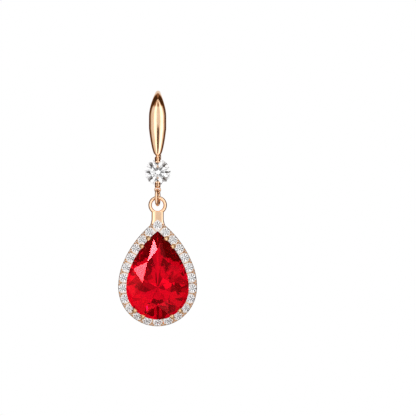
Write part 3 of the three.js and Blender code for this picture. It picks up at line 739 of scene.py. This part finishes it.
neck_top = halo_front + NECK_RAISE
neck_walls = [(0.0, -halo_front)] + [(inward, neck_top - down) for inward, down in NECK_SLOPE]
neck_rings = [[(x, y, z) for x, y in neck_outline(inward)] for inward, z in neck_walls]
neck = piece("halo_neck", skin(neck_rings, False), "drop", NECK_CREASE)
seats_cut(neck, NECK_POCKET_EXTRA)
hung(neck)

# Beads and bars
# Small gold beads are raised with a graver at the rim and inside it, three in every gap, and push
# over the stones' edges. A thin bar is left standing across the plate between two stones.
RIM_BEAD_R = 0.15
RIM_BEAD_SPREAD = 0.27
INNER_BEAD_R = 0.17
INNER_BEAD_IN = 0.4
BEAD_RISE = 0.05
BEAD_POST = 1.6
BEAD_CAP = 0.05
BEAD_STEPS = 7
INNER_BEAD_ROUND, INNER_BEAD_SIDES = 1.0, 16
RIM_BEAD_ROUND, RIM_BEAD_SIDES = 0.95, 14
BAR_R = 0.07
BAR_RISE = 0.03
BAR_END_PLAY = 0.02
BAR_SIDES = 12
BAR_STEPS = 8
# A darker gold for the beads and bars, painted shade for the shading round them between the stones
BEAD_PAINTED_SHADE_LIGHT = (0.78, 0.46, 0.2, 1.0)
BEAD_PAINTED_SHADE_DEEP = (0.6, 0.32, 0.12, 1.0)
BEAD_ROUGHNESS = 0.1
BEAD_WAVE = 0.01


def gap_place(gap, offset, side):
    """Midway between two halo stones, at an offset from the stone's outline."""
    point, out = on_teardrop(HALO_STONE_OUT, (gap + 0.5) * pitch)
    point = point + out * (offset - HALO_STONE_OUT)
    return Vector((side * point.x, point.y)), Vector((side * out.x, out.y))


def dome(radius, rise, sides, x, y):
    """A bead of metal on its short post."""
    profile = [(radius, -radius * BEAD_POST)]
    for i in range(BEAD_STEPS):
        angle = math.pi / 2 * i / BEAD_STEPS
        profile.append((radius * math.cos(angle), radius * rise * math.sin(angle)))
    profile.append((radius * BEAD_CAP, radius * rise))
    return turned(profile, sides, (x, y, halo_front + BEAD_RISE), forward=True)


gaps = [(side, gap) for side in (1, -1) for gap in range(HALO_STONES // 2)]
beads, bars = [], []
bar_half = seat_r - BAR_END_PLAY
bar_turns = [2 * math.pi * s / BAR_SIDES for s in range(BAR_SIDES)]
for side, gap in gaps:
    rim, out = gap_place(gap, halo_outer - RIM_BEAD_R, side)
    inner, _ = gap_place(gap, halo_outer - INNER_BEAD_IN, side)
    beads.append(dome(INNER_BEAD_R, INNER_BEAD_ROUND, INNER_BEAD_SIDES, inner.x, halo_y + inner.y))
    for hand in (1, -1):
        x, y = rim.x - hand * RIM_BEAD_SPREAD * out.y, rim.y + hand * RIM_BEAD_SPREAD * out.x
        beads.append(dome(RIM_BEAD_R, RIM_BEAD_ROUND, RIM_BEAD_SIDES, x, halo_y + y))
    rings = []
    for step in range(BAR_STEPS + 1):
        y = bar_half * (2 * step / BAR_STEPS - 1)
        rings.append([(BAR_R * math.cos(turn), y, halo_front + BAR_RISE - BAR_R + BAR_R * math.sin(turn))
                      for turn in bar_turns])
    middle, out = gap_place(gap, HALO_STONE_OUT, side)
    bar = rotated(skin(rings, False), math.atan2(out.y, out.x) - math.pi / 2)
    bars.append(moved(bar, middle.x, halo_y + middle.y, 0))
# The beads and bars take a darker gold than the rest, a painted shade between the stones
bead_gold_painted_shade = polished("bead_gold_painted_shade", BEAD_PAINTED_SHADE_LIGHT, BEAD_PAINTED_SHADE_DEEP, BEAD_ROUGHNESS, BEAD_WAVE)
finished(hung(piece("halo_beads", gathered(beads), "drop")), bead_gold_painted_shade)
finished(hung(piece("halo_bars", gathered(bars), "drop")), bead_gold_painted_shade)

# Claws
# Eight gold claws rise through the gaps and are pushed over the red stone's girdle. Their heads
# are filed to round knobs, and behind the plate their legs bend in to the back rail.
GIRDLE = 0.25
STONE_ABOVE_HALO = 0.45
CLAW_TIP_HALF_WIDTH = 0.36
CLAW_TIP_HALF_THICK = 0.27
CLAW_HALF_WIDTH = 0.19
CLAW_HALF_THICK = 0.2
CLAW_HOOK = 0.24
CLAW_KNEE = (0.5, 1.2)
CLAW_FOOT_OUT = 0.8
CLAW_BEND_IN = 0.5
CLAW_HEAD_LOW, CLAW_HEAD_GROWTH = 0.1, 0.2
CLAW_PLAY = 0.07
CLAW_GAPS = (1, 2, 9, 10)
CLAW_SIDES = 20
CLAW_STEPS = 60
CLAW_END_STEPS = 5
GALLERY_WIRE_R = 0.25
GALLERY_IN = 1.25
GALLERY_BEHIND = 2.15
# A lighter gold for the claws, painted light that brightens their knobs
CLAW_PAINTED_LIGHT_PALE = (1.0, 0.76, 0.48, 1.0)
CLAW_PAINTED_LIGHT_DEEP = (0.96, 0.68, 0.39, 1.0)
CLAW_ROUGHNESS = 0.5
CLAW_WAVE = 0.01

stone_girdle_z = halo_front + STONE_ABOVE_HALO
rail_z = stone_girdle_z - GALLERY_BEHIND
claw_top = stone_girdle_z + GIRDLE
claw_off = CLAW_PLAY + CLAW_HALF_THICK
blade_way = curve([
    (-CLAW_HOOK, claw_top + CLAW_HOOK + claw_off),
    (claw_off * CLAW_KNEE[0], claw_top + claw_off * CLAW_KNEE[1]),
    (claw_off, claw_top),
    (claw_off, stone_girdle_z - GIRDLE),
    (claw_off * CLAW_FOOT_OUT, -halo_front),
    (-GALLERY_IN * CLAW_BEND_IN, (rail_z - halo_front) / 2 - GALLERY_WIRE_R),
    (-GALLERY_IN, rail_z),
], CLAW_STEPS)
blade = []
for i, (y, z) in enumerate(blade_way):
    size = end_size(i, CLAW_END_STEPS)
    head = ease((z - claw_top + CLAW_HEAD_LOW) / CLAW_HEAD_GROWTH)
    half = blend(CLAW_HALF_WIDTH, CLAW_TIP_HALF_WIDTH, head)
    front = blend(CLAW_HALF_THICK, CLAW_TIP_HALF_THICK, head)
    blade.append((y, z, half * size, front * size, CLAW_HALF_THICK * size))
blades = []
for side in (1, -1):
    for gap in CLAW_GAPS:
        point, out = gap_place(gap, HALO_STONE_OUT, side)
        girdle = point - out * (HALO_STONE_OUT + HALO_LIFT * out.y)
        turned_blade = rotated(strap(blade, CLAW_SIDES), math.atan2(out.y, out.x) - math.pi / 2)
        blades.append(moved(turned_blade, girdle.x, halo_y + girdle.y, 0))
# The claws take a lighter gold than the rest, painted light on their knobs
claw_gold_painted_light = polished("claw_gold_painted_light", CLAW_PAINTED_LIGHT_PALE, CLAW_PAINTED_LIGHT_DEEP, CLAW_ROUGHNESS, CLAW_WAVE)
finished(hung(piece("halo_claws", gathered(blades), "drop")), claw_gold_painted_light)

# Back rail and bail ring
# Two closed gold wires: a teardrop rail behind the red stone, to which the eight claws are
# soldered, and the bail ring on top of the neck, which hangs on the jump link.
RAIL_STEPS = 24
RAIL_SIDES = 16
BAIL_STEPS = 96
BAIL_SIDES = 28

rail = ring_wire(teardrop_path(-GALLERY_IN, RAIL_STEPS), GALLERY_WIRE_R, RAIL_SIDES)
hung(piece("halo_back_rail", moved(rail, 0, drop_y, rail_z), "drop"))
bail = ring_wire(circle(BAIL_R, BAIL_STEPS), BAIL_WIRE_R, BAIL_SIDES)
hung(piece("halo_bail_ring", moved(bail, 0, bail_y, 0), "drop"))

# Teardrop red stone
# A saturated red brilliant with a high crown, held by the eight claws; its colour deepens each
# time light passes through one of its faces, and a little of it is scattered inside.
RED_CLEAR = (0.76, 0.001, 0.01, 1.0)
RED_CLOUDY = (0.64, 0.0, 0.012, 1.0)
RED_GLOSS = (1.0, 0.04, 0.055, 1.0)
RED_INDEX = 1.76
RED_CLARITY = 0.94

red_stone = gem("red_stone", RED_CLEAR, RED_CLOUDY, RED_INDEX, RED_GLOSS, RED_CLARITY)
finished(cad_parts["teardrop_stone"], red_stone)

# Halo stones
# Twenty-four small colourless brilliants, cut as the round stone is. Each is dropped into its seat
# and held by the beads.
for number in range(1, HALO_STONES + 1):
    finished(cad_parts[f"halo_stone_{number:02d}"], white_stone)

# Floor, light and camera
# A plain white floor and white surroundings behind the earring; polished metal and stones see a
# studio of two tall soft boxes with a dark gap in front, warm dark walls and a paler ceiling.
CAMERA_X = 7.99
CAMERA_Z = -18.01
CAMERA_AWAY = 366.8
CAMERA_LENS = 200
SENSOR_WIDTH = 36
FLOOR_Z = -75.0
FLOOR_HALF = 900.0
PLAIN_WHITE = (1.0, 1.0, 1.0, 1.0)
WARM_DARK = (1.0, 0.45, 0.16, 1.0)
SOFT_WHITE = (1.0, 0.98, 0.97, 1.0)
STUDIO_LEVEL, STUDIO_LEAST = 0.85, 0.06
WARM_RANGE = (0.1, 0.9)
GAP_TURN, GAP_LEAN, GAP_DARK = 0.03, 0.25, 0.8
GAP_SIDE, GAP_TOP = (0.03, 0.1), (0.02, 0.1)
WALL_FRONT, WALL_BACK, WALL_DARK = (0.85, 1.25), (2.3, 2.8), 0.74
CEILING_FROM, CEILING_DARK = (0.75, 1.0), 0.56
GROUND_FROM, GROUND_DARK = (0.8, 1.1), 0.4
GLINT_SCALE = 3.1
GLINT_LEVEL, GLINT_SPREAD, GLINT_SLOPE, GLINT_LEAST = 0.62, 0.72, 0.3, 0.1
DARK_SHARE, DARK_GLINT = (0.70, 0.74), 0.85
BRIGHT_SHARE, BRIGHT_GLINT = (0.85, 0.9), 0.6
LAMPS = (
    # name, way from the stone's middle, side of the lamp in metres, power in watts
    ("upper_left", (-0.70, -0.49, 0.52), 0.065, 1.0),
    ("left", (-0.76, -0.63, 0.15), 0.065, 0.55),
    ("far_left", (-0.88, -0.47, 0.0), 0.06, 0.012),
)
LAMP_AWAY = 0.3
STONE_MIDDLE_FRONT = 1.5
BOUNCES = 32

floor_mesh = bpy.data.meshes.new("floor")
floor_corners = [(x * FLOOR_HALF * MM, y * FLOOR_HALF * MM, FLOOR_Z * MM)
                 for x, y in ((-1, -1), (1, -1), (1, 1), (-1, 1))]
floor_mesh.from_pydata(floor_corners, [], [(0, 1, 2, 3)])
floor = bpy.data.objects.new("floor", floor_mesh)
bpy.context.scene.collection.objects.link(floor)
paper = bpy.data.materials.new("white_floor")
sheet = Shader(paper)
glow = sheet.node("ShaderNodeEmission", Color=PLAIN_WHITE, Strength=1.0)
sheet.node("ShaderNodeOutputMaterial", Surface=glow)
floor_mesh.materials.append(paper)
floor.visible_glossy = False
floor.visible_diffuse = False
floor.visible_transmission = False
floor.visible_shadow = False

studio = bpy.data.worlds.new("studio")
bpy.context.scene.world = studio
room = Shader(studio)
around = room.node("ShaderNodeTexCoord", out="Generated")
across, deep, height = around.parts()
bearing = across.atan2(-deep)
rise = height.asin()


def soft_box(turn, core, edge, power):
    """A tall soft box at an angle from the front: full within its core and gone past its edge."""
    return (1.0 - abs(bearing - turn).ramp(core, edge)) * power


off_gap = (abs(bearing - GAP_TURN) + rise * GAP_LEAN).ramp(*GAP_SIDE)
dark_gap = (1.0 - off_gap) * (-rise).ramp(*GAP_TOP) * GAP_DARK
left_box = soft_box(turn=-0.27, core=0.03, edge=0.24, power=1.1)
right_box = soft_box(turn=0.5, core=0.08, edge=0.3, power=1.2)
walls = abs(bearing).ramp(*WALL_FRONT) * (1.0 - abs(bearing).ramp(*WALL_BACK)) * WALL_DARK
over_and_under = rise.ramp(*CEILING_FROM) * CEILING_DARK + (-rise).ramp(*GROUND_FROM) * GROUND_DARK
level = STUDIO_LEVEL - dark_gap + left_box + right_box - walls - over_and_under
level = level.at_least(STUDIO_LEAST)
tone = level.ramp(*WARM_RANGE).mix(WARM_DARK, SOFT_WHITE)
metal_light = room.node("ShaderNodeBackground", Color=tone, Strength=level)

cells = room.node("ShaderNodeTexVoronoi", out="Color", Vector=around, Scale=GLINT_SCALE)
first, second, third = cells.parts()
glints = GLINT_LEVEL + first * GLINT_SPREAD - across * GLINT_SLOPE
glints = glints - second.ramp(*DARK_SHARE) * DARK_GLINT + third.ramp(*BRIGHT_SHARE) * BRIGHT_GLINT
stone_light = room.node("ShaderNodeBackground", Color=PLAIN_WHITE, Strength=glints.at_least(GLINT_LEAST))

in_stone = room.node("ShaderNodeLightPath", out="Is Transmission Ray")
on_piece = room.node("ShaderNodeMixShader", at0=in_stone, at1=metal_light, at2=stone_light)
plain_light = room.node("ShaderNodeBackground", Color=PLAIN_WHITE, Strength=1.0)
to_camera = room.node("ShaderNodeLightPath", out="Is Camera Ray")
surroundings = room.node("ShaderNodeMixShader", at0=to_camera, at1=on_piece, at2=plain_light)
room.node("ShaderNodeOutputWorld", Surface=surroundings)

red_only = bpy.data.collections.new("red_stone_only")
red_only.objects.link(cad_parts["teardrop_stone"])
stone_middle = Vector((0.0, -head_z - STONE_MIDDLE_FRONT, drop_y)) * MM
for name, way, width, power in LAMPS:
    lamp_data = bpy.data.lights.new(name, "AREA")
    lamp_data.size = width
    lamp_data.energy = power
    lamp = bpy.data.objects.new(name, lamp_data)
    lamp.location = stone_middle + Vector(way) * LAMP_AWAY
    lamp.rotation_euler = Vector(way).to_track_quat("Z", "Y").to_euler()
    lamp.light_linking.receiver_collection = red_only
    bpy.context.scene.collection.objects.link(lamp)

eye = bpy.data.cameras.new("camera")
eye.lens = CAMERA_LENS
eye.sensor_width = SENSOR_WIDTH
eye.clip_start, eye.clip_end = 0.01, 10
camera = bpy.data.objects.new("camera", eye)
camera.location = (CAMERA_X * MM, -(CAMERA_AWAY + head_z) * MM, CAMERA_Z * MM)
camera.rotation_euler = (math.pi / 2, 0, 0)
bpy.context.scene.collection.objects.link(camera)
bpy.context.scene.camera = camera
bpy.context.scene.view_settings.view_transform = "Standard"
bpy.context.scene.cycles.max_bounces = BOUNCES
bpy.context.scene.cycles.transmission_bounces = BOUNCES

bpy.context.view_layer.update()
